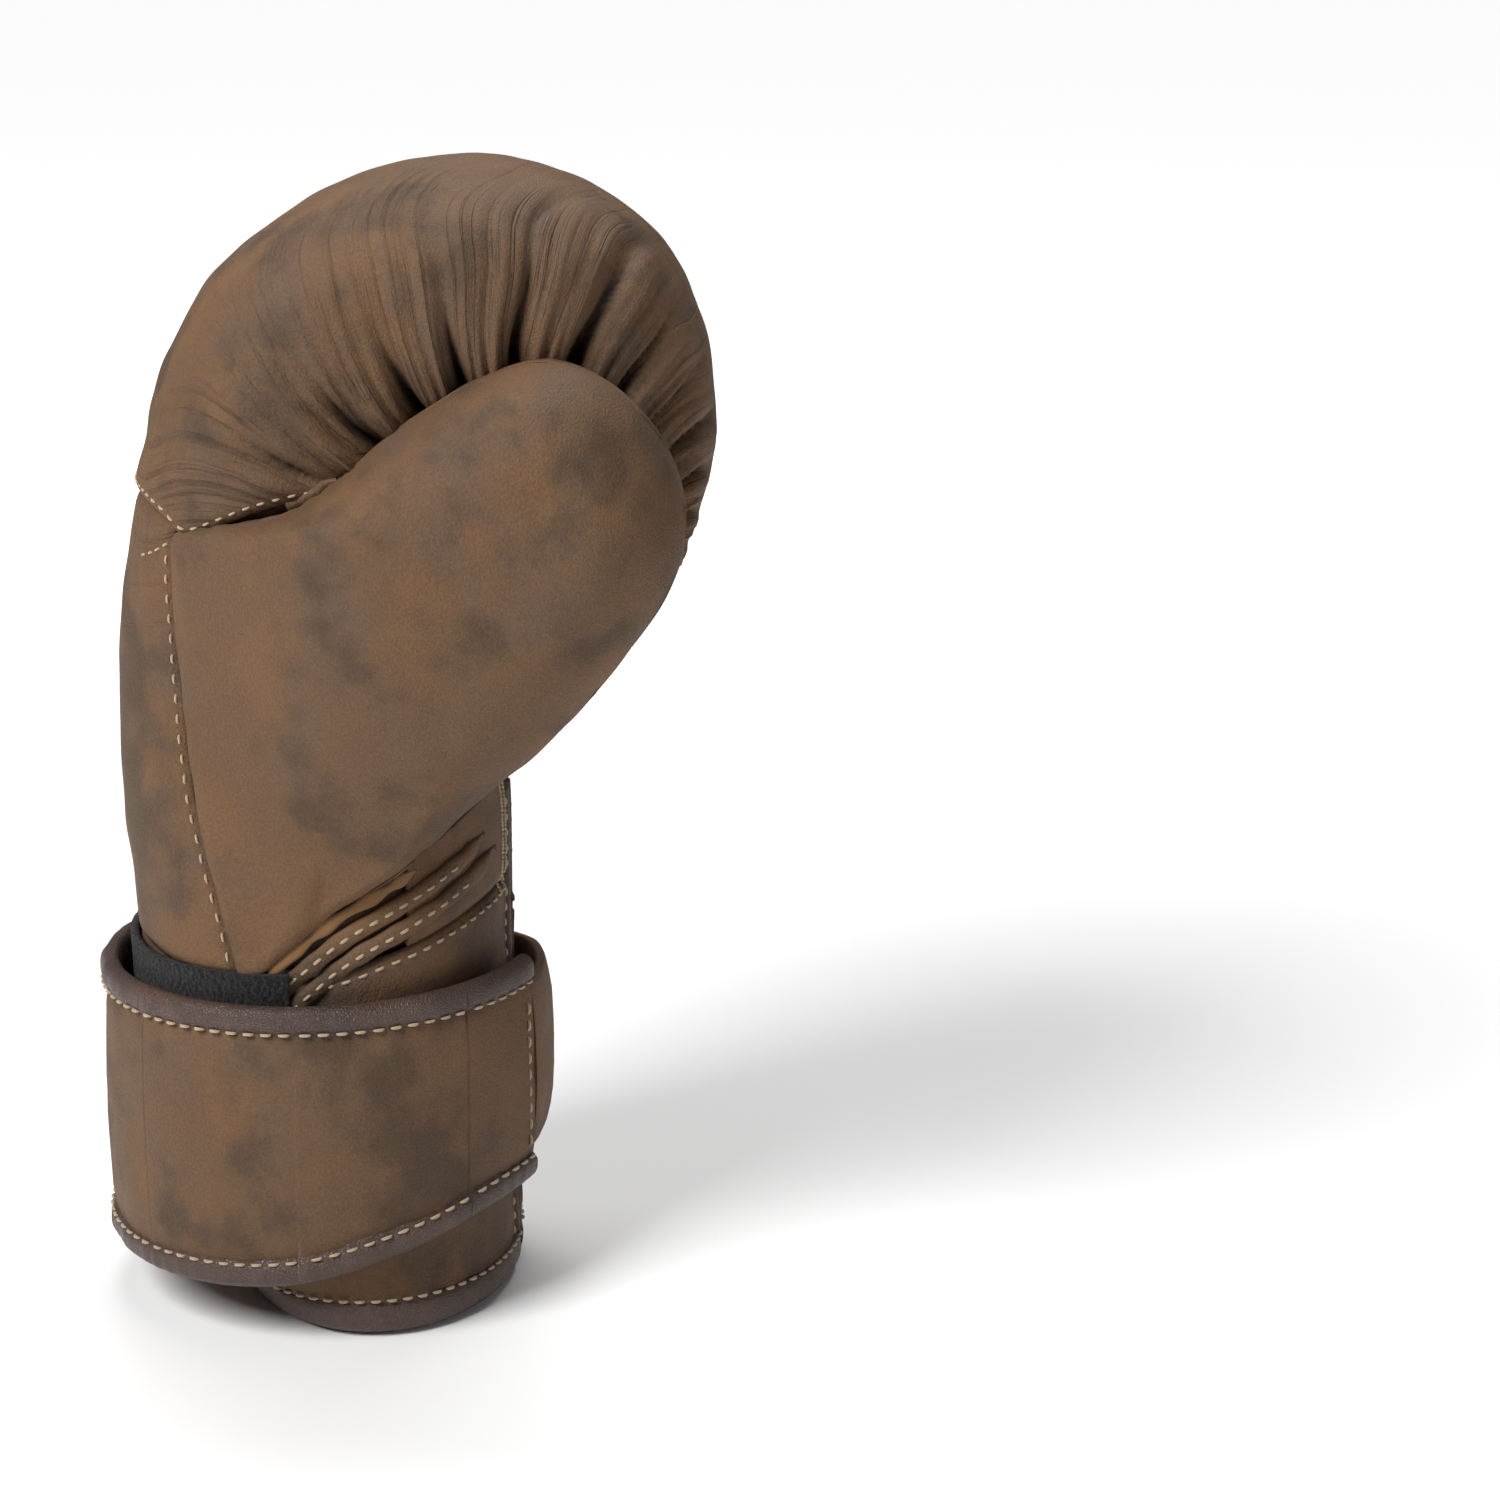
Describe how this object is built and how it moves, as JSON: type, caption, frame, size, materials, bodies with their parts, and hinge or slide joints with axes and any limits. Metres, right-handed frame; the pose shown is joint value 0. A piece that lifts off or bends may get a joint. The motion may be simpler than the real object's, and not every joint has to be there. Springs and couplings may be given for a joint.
{
  "type": "boxing glove",
  "caption": "Left-hand leather boxing glove with a padded mitt, an attached thumb and a wrap-round hook-and-loop wrist strap.",
  "frame": {"origin": "centre of the wrist opening, on the plane of the hem", "axes": "+Z from the wrist to the knuckles, +X the palm side, -X the back of the hand, -Y the thumb side"},
  "size_m": [0.158, 0.1483, 0.2885],
  "materials": {
    "mitt_leather": "matte",
    "panel_leather": "matte",
    "strap_leather": "matte",
    "binding_leather": "satin",
    "padding": "matte",
    "lining_cloth": "matte",
    "hook_and_loop": "matte",
    "elastic": "matte"
  },
  "bodies": {
    "glove": {"mitt_cover": "mitt_leather", "finger_face": "mitt_leather", "back_hand_panel": "panel_leather", "palm_panel": "panel_leather", "finger_side_panel": "panel_leather", "thumb_gusset": "panel_leather", "thumb_side_panel": "panel_leather", "cuff_back_panel": "panel_leather", "cuff_thumb_side_panel": "panel_leather", "cuff_finger_side_panel": "panel_leather", "thumb_lock_tab": "panel_leather", "strap_anchor": "strap_leather", "hem_binding": "binding_leather", "slit_binding_thumb_side": "binding_leather", "slit_binding_finger_side": "binding_leather", "thumb_base_welts": "binding_leather", "back_pad": "padding", "palm_pad": "padding", "outer_knuckle_pad": "padding", "inner_knuckle_pad": "padding", "cuff_pad": "padding", "thumb_side_pad": "padding", "grip_bar": "padding", "hand_lining": "lining_cloth", "cuff_lining": "lining_cloth", "loop_panel": "hook_and_loop", "palm_gore": "elastic"},
    "thumb": {"thumb_outer_panel": "panel_leather", "thumb_inner_panel": "panel_leather", "thumb_pad": "padding", "thumb_lining": "lining_cloth"},
    "strap_bridge_link": {"strap_bridge": "strap_leather"},
    "strap_link_1": {"strap_panel_1": "strap_leather", "strap_binding_1": "binding_leather"},
    "strap_link_2": {"strap_panel_2": "strap_leather", "strap_binding_2": "binding_leather"},
    "strap_link_3": {"strap_panel_3": "strap_leather", "strap_binding_3": "binding_leather"},
    "strap_link_4": {"strap_panel_4": "strap_leather", "strap_binding_4": "binding_leather"},
    "strap_link_5": {"strap_panel_5": "strap_leather", "strap_binding_5": "binding_leather", "hook_panel": "hook_and_loop"}
  },
  "joints": [
    {"name": "thumb_spread", "type": "hinge", "parent": "glove", "child": "thumb", "pos_m": [-0.00947, -0.07496, 0.21009], "axis": [0.2327, 0.1619, -0.959], "range_deg": [0, 6]},
    {"name": "strap_open", "type": "hinge", "parent": "glove", "child": "strap_bridge_link", "pos_m": [0.0393, 0.02255, 0.055], "axis": [0, 0, 1], "range_deg": [0, 40]},
    {"name": "strap_bend_1", "type": "hinge", "parent": "strap_bridge_link", "child": "strap_link_1", "pos_m": [0.03851, -0.02449, 0.055], "axis": [0, 0, 1], "range_deg": [0, 40]},
    {"name": "strap_bend_2", "type": "hinge", "parent": "strap_link_1", "child": "strap_link_2", "pos_m": [0.00629, -0.05628, 0.055], "axis": [0, 0, 1], "range_deg": [0, 40]},
    {"name": "strap_bend_3", "type": "hinge", "parent": "strap_link_2", "child": "strap_link_3", "pos_m": [-0.03804, -0.05482, 0.055], "axis": [0, 0, 1], "range_deg": [0, 40]},
    {"name": "strap_bend_4", "type": "hinge", "parent": "strap_link_3", "child": "strap_link_4", "pos_m": [-0.06828, -0.02098, 0.055], "axis": [0, 0, 1], "range_deg": [0, 40]},
    {"name": "strap_bend_5", "type": "hinge", "parent": "strap_link_4", "child": "strap_link_5", "pos_m": [-0.06658, 0.02525, 0.055], "axis": [0, 0, 1], "range_deg": [0, 40]}
  ],
  "couplings": [
    {"joint": "strap_bend_1", "follows": "strap_open", "ratio": 1},
    {"joint": "strap_bend_2", "follows": "strap_open", "ratio": 1},
    {"joint": "strap_bend_3", "follows": "strap_open", "ratio": 1},
    {"joint": "strap_bend_4", "follows": "strap_open", "ratio": 1},
    {"joint": "strap_bend_5", "follows": "strap_open", "ratio": 1}
  ]
}
